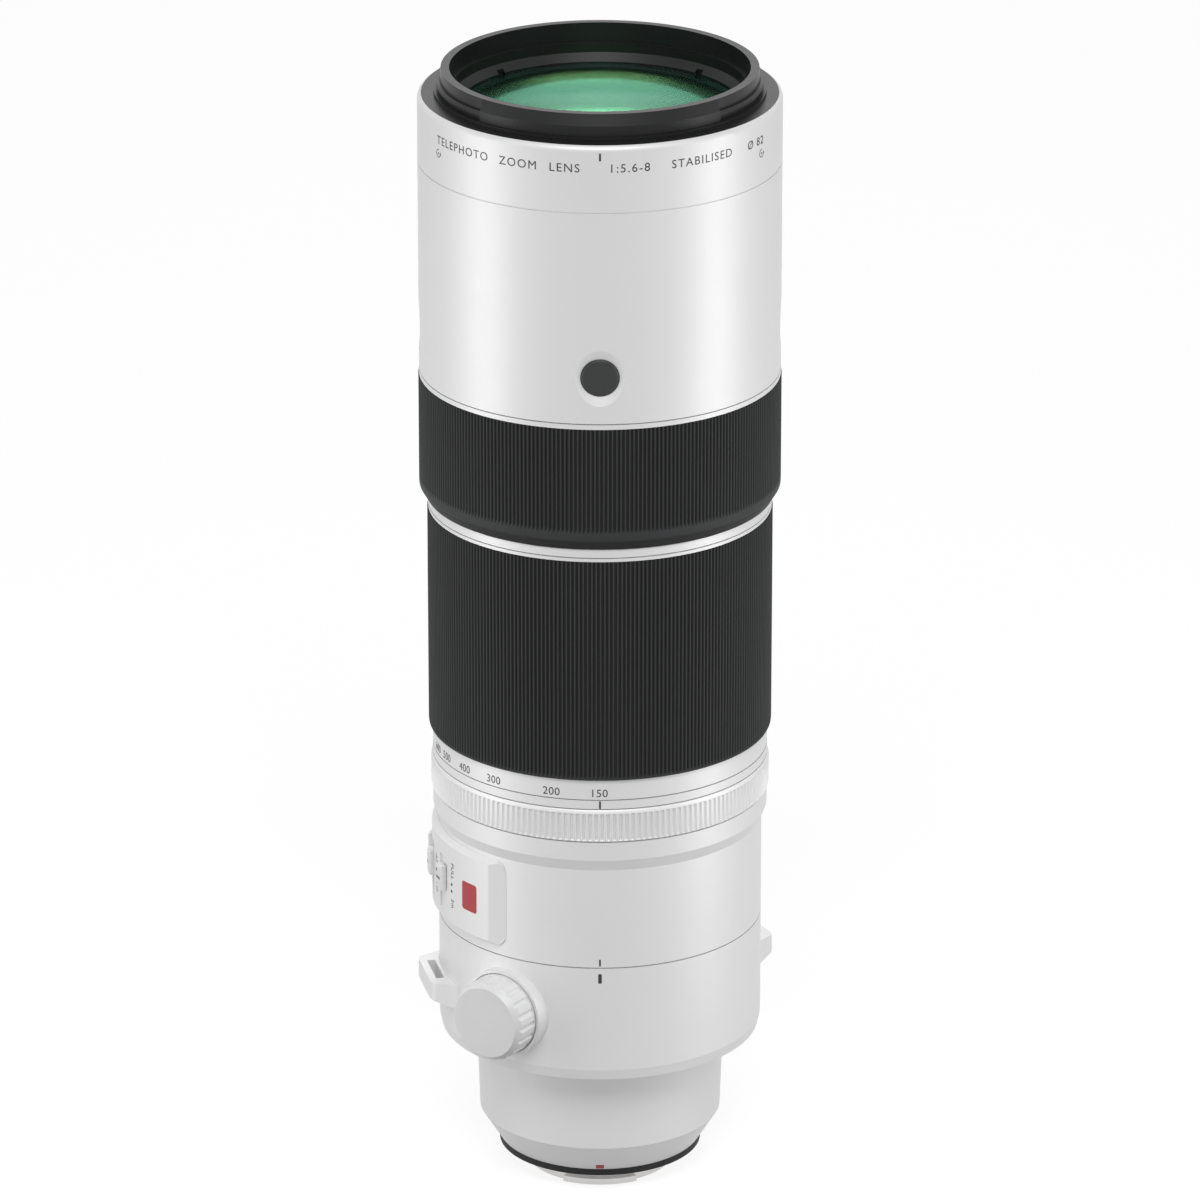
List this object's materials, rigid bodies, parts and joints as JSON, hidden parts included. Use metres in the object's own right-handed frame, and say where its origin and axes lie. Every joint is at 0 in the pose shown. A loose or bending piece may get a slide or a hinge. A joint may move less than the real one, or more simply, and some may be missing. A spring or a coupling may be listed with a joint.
{
  "type": "camera zoom lens",
  "caption": "White telephoto zoom lens with ribbed focus and zoom rings, aperture ring, switch panel, rotating tripod collar with foot, filter thread and bayonet mount.",
  "frame": {"origin": "centre of the mount's flange face", "axes": "+Z runs along the optical axis towards the front of the lens, -Y towards the index marks, so +X is to the right when the lens stands on its mount and is seen from the index side"},
  "size_m": [0.1002, 0.1399, 0.3201],
  "materials": {
    "white_enamel": "satin",
    "black_enamel": "satin",
    "black_rubber": "matte",
    "seal_rubber": "matte",
    "coated_glass": "polished",
    "mount_chrome": "satin",
    "screw_steel": "satin",
    "black_anodised": "matte",
    "bare_alloy": "satin",
    "blade_steel": "matte",
    "black_plastic": "satin",
    "pale_plastic": "satin",
    "grey_plastic": "satin",
    "contact_gold": "polished",
    "board_green": "gloss"
  },
  "bodies": {
    "barrel": {"rear_barrel": "white_enamel", "front_barrel": "white_enamel", "filter_ring": "black_enamel", "front_cell": "black_anodised", "front_element": "coated_glass", "second_element": "coated_glass", "front_retaining_ring": "black_enamel", "spacer_ring": "white_enamel", "guide_barrel": "bare_alloy", "index_ring": "white_enamel", "iris_housing": "black_anodised", "focus_guide_rods": "screw_steel", "focus_motor_yokes": "screw_steel", "mount_barrel": "white_enamel", "mount_seal": "seal_rubber", "mount_plate": "mount_chrome", "mount_screws": "screw_steel", "contact_block": "black_plastic", "contact_pins": "contact_gold", "rear_baffle": "black_plastic", "rear_element": "coated_glass", "circuit_board": "board_green", "switch_panel": "white_enamel"},
    "focus_button_front": {"focus_button_front": "black_plastic"},
    "focus_button_left": {"focus_button_left": "black_plastic"},
    "focus_button_back": {"focus_button_back": "black_plastic"},
    "focus_button_right": {"focus_button_right": "black_plastic"},
    "focus_ring": {"focus_ring": "white_enamel", "focus_grip": "black_rubber"},
    "zoom_ring": {"zoom_ring": "white_enamel", "zoom_grip": "black_rubber", "cam_barrel": "bare_alloy"},
    "variator": {"variator_cell": "black_anodised", "variator_element": "coated_glass"},
    "compensator": {"compensator_cell": "black_anodised", "compensator_element": "coated_glass"},
    "aperture_ring": {"aperture_ring": "white_enamel"},
    "iris_drive_ring": {"iris_drive_ring": "black_anodised"},
    "stabiliser": {"stabiliser_holder": "black_plastic", "stabiliser_element": "coated_glass"},
    "focus_group": {"focus_cell": "black_plastic", "focus_element": "coated_glass"},
    "switch_knob_1": {"switch_knob_1": "pale_plastic"},
    "switch_knob_2": {"switch_knob_2": "pale_plastic"},
    "switch_knob_3": {"switch_knob_3": "pale_plastic"},
    "set_button": {"set_button": "grey_plastic"},
    "collar": {"collar_ring": "white_enamel", "strap_lugs": "white_enamel", "tripod_foot": "white_enamel", "foot_screws": "screw_steel"},
    "clamp_knob": {"clamp_knob": "pale_plastic"},
    "iris_blade_1": {"iris_blade_1": "blade_steel"},
    "iris_blade_2": {"iris_blade_2": "blade_steel"},
    "iris_blade_3": {"iris_blade_3": "blade_steel"},
    "iris_blade_4": {"iris_blade_4": "blade_steel"},
    "iris_blade_5": {"iris_blade_5": "blade_steel"},
    "iris_blade_6": {"iris_blade_6": "blade_steel"},
    "iris_blade_7": {"iris_blade_7": "blade_steel"},
    "iris_blade_8": {"iris_blade_8": "blade_steel"},
    "iris_blade_9": {"iris_blade_9": "blade_steel"}
  },
  "joints": [
    {"name": "focus_button_front_press", "type": "slide", "parent": "barrel", "child": "focus_button_front", "axis": [0, 1, 0], "range_m": [0, 0.0006], "stiffness_N_per_m": 1200, "springref_m": -0.0002},
    {"name": "focus_button_left_press", "type": "slide", "parent": "barrel", "child": "focus_button_left", "axis": [1, 0, 0], "range_m": [0, 0.0006], "stiffness_N_per_m": 1200, "springref_m": -0.0002},
    {"name": "focus_button_back_press", "type": "slide", "parent": "barrel", "child": "focus_button_back", "axis": [0, -1, 0], "range_m": [0, 0.0006], "stiffness_N_per_m": 1200, "springref_m": -0.0002},
    {"name": "focus_button_right_press", "type": "slide", "parent": "barrel", "child": "focus_button_right", "axis": [-1, 0, 0], "range_m": [0, 0.0006], "stiffness_N_per_m": 1200, "springref_m": -0.0002},
    {"name": "focus_ring_turn", "type": "hinge", "parent": "barrel", "child": "focus_ring", "pos_m": [0, 0, 0.211], "axis": [0, 0, 1], "continuous": true},
    {"name": "zoom_ring_turn", "type": "hinge", "parent": "barrel", "child": "zoom_ring", "pos_m": [0, 0, 0.158], "axis": [0, 0, 1], "range_deg": [0, 75]},
    {"name": "variator_slide", "type": "slide", "parent": "barrel", "child": "variator", "axis": [0, 0, 1], "range_m": [0, 0.04]},
    {"name": "compensator_slide", "type": "slide", "parent": "barrel", "child": "compensator", "axis": [0, 0, 1], "range_m": [0, 0.015]},
    {"name": "aperture_ring_turn", "type": "hinge", "parent": "barrel", "child": "aperture_ring", "pos_m": [0, 0, 0.1127], "axis": [0, 0, 1], "continuous": true},
    {"name": "iris_ring_turn", "type": "hinge", "parent": "barrel", "child": "iris_drive_ring", "pos_m": [0, 0, 0.0978], "axis": [0, 0, 1], "range_deg": [0, 24]},
    {"name": "iris_blade_1_swing", "type": "hinge", "parent": "barrel", "child": "iris_blade_1", "pos_m": [0.029, 0, 0.0924], "axis": [0, 0, 1], "range_deg": [0, 30.02]},
    {"name": "iris_blade_2_swing", "type": "hinge", "parent": "barrel", "child": "iris_blade_2", "pos_m": [0.02221, 0.01864, 0.0929], "axis": [0, 0, 1], "range_deg": [0, 30.02]},
    {"name": "iris_blade_3_swing", "type": "hinge", "parent": "barrel", "child": "iris_blade_3", "pos_m": [0.00504, 0.02856, 0.0934], "axis": [0, 0, 1], "range_deg": [0, 30.02]},
    {"name": "iris_blade_4_swing", "type": "hinge", "parent": "barrel", "child": "iris_blade_4", "pos_m": [-0.0145, 0.02511, 0.0939], "axis": [0, 0, 1], "range_deg": [0, 30.02]},
    {"name": "iris_blade_5_swing", "type": "hinge", "parent": "barrel", "child": "iris_blade_5", "pos_m": [-0.02725, 0.00992, 0.0944], "axis": [0, 0, 1], "range_deg": [0, 30.02]},
    {"name": "iris_blade_6_swing", "type": "hinge", "parent": "barrel", "child": "iris_blade_6", "pos_m": [-0.02725, -0.00992, 0.0949], "axis": [0, 0, 1], "range_deg": [0, 30.02]},
    {"name": "iris_blade_7_swing", "type": "hinge", "parent": "barrel", "child": "iris_blade_7", "pos_m": [-0.0145, -0.02511, 0.0954], "axis": [0, 0, 1], "range_deg": [0, 30.02]},
    {"name": "iris_blade_8_swing", "type": "hinge", "parent": "barrel", "child": "iris_blade_8", "pos_m": [0.00504, -0.02856, 0.0959], "axis": [0, 0, 1], "range_deg": [0, 30.02]},
    {"name": "iris_blade_9_swing", "type": "hinge", "parent": "barrel", "child": "iris_blade_9", "pos_m": [0.02221, -0.01864, 0.0964], "axis": [0, 0, 1], "range_deg": [0, 30.02]},
    {"name": "stabiliser_shift", "type": "slide", "parent": "barrel", "child": "stabiliser", "axis": [1, 0, 0], "range_m": [-0.0005, 0.0005], "stiffness_N_per_m": 400},
    {"name": "focus_group_slide", "type": "slide", "parent": "barrel", "child": "focus_group", "axis": [0, 0, 1], "range_m": [0, 0.014]},
    {"name": "switch_1_slide", "type": "slide", "parent": "barrel", "child": "switch_knob_1", "axis": [0, 0, 1], "range_m": [0, 0.002]},
    {"name": "switch_2_slide", "type": "slide", "parent": "barrel", "child": "switch_knob_2", "axis": [0, 0, 1], "range_m": [0, 0.002]},
    {"name": "switch_3_slide", "type": "slide", "parent": "barrel", "child": "switch_knob_3", "axis": [0, 0, 1], "range_m": [0, 0.002]},
    {"name": "set_button_press", "type": "slide", "parent": "barrel", "child": "set_button", "axis": [0.9135, -0.4067, 0], "range_m": [0, 0.0005], "stiffness_N_per_m": 1000, "springref_m": -0.0002},
    {"name": "collar_turn", "type": "hinge", "parent": "barrel", "child": "collar", "pos_m": [0, 0, 0.0532], "axis": [0, 0, 1], "continuous": true},
    {"name": "clamp_knob_turn", "type": "hinge", "parent": "collar", "child": "clamp_knob", "pos_m": [-0.02832, -0.04121, 0.0543], "axis": [-0.5664, -0.8241, 0], "range_deg": [0, 270]}
  ],
  "couplings": [
    {"joint": "variator_slide", "follows": "zoom_ring_turn", "m_per_rad": 0.030557},
    {"joint": "compensator_slide", "follows": "zoom_ring_turn", "m_per_rad": 0.011458},
    {"joint": "iris_blade_1_swing", "follows": "iris_ring_turn", "ratio": 1.25},
    {"joint": "iris_blade_2_swing", "follows": "iris_ring_turn", "ratio": 1.25},
    {"joint": "iris_blade_3_swing", "follows": "iris_ring_turn", "ratio": 1.25},
    {"joint": "iris_blade_4_swing", "follows": "iris_ring_turn", "ratio": 1.25},
    {"joint": "iris_blade_5_swing", "follows": "iris_ring_turn", "ratio": 1.25},
    {"joint": "iris_blade_6_swing", "follows": "iris_ring_turn", "ratio": 1.25},
    {"joint": "iris_blade_7_swing", "follows": "iris_ring_turn", "ratio": 1.25},
    {"joint": "iris_blade_8_swing", "follows": "iris_ring_turn", "ratio": 1.25},
    {"joint": "iris_blade_9_swing", "follows": "iris_ring_turn", "ratio": 1.25}
  ]
}
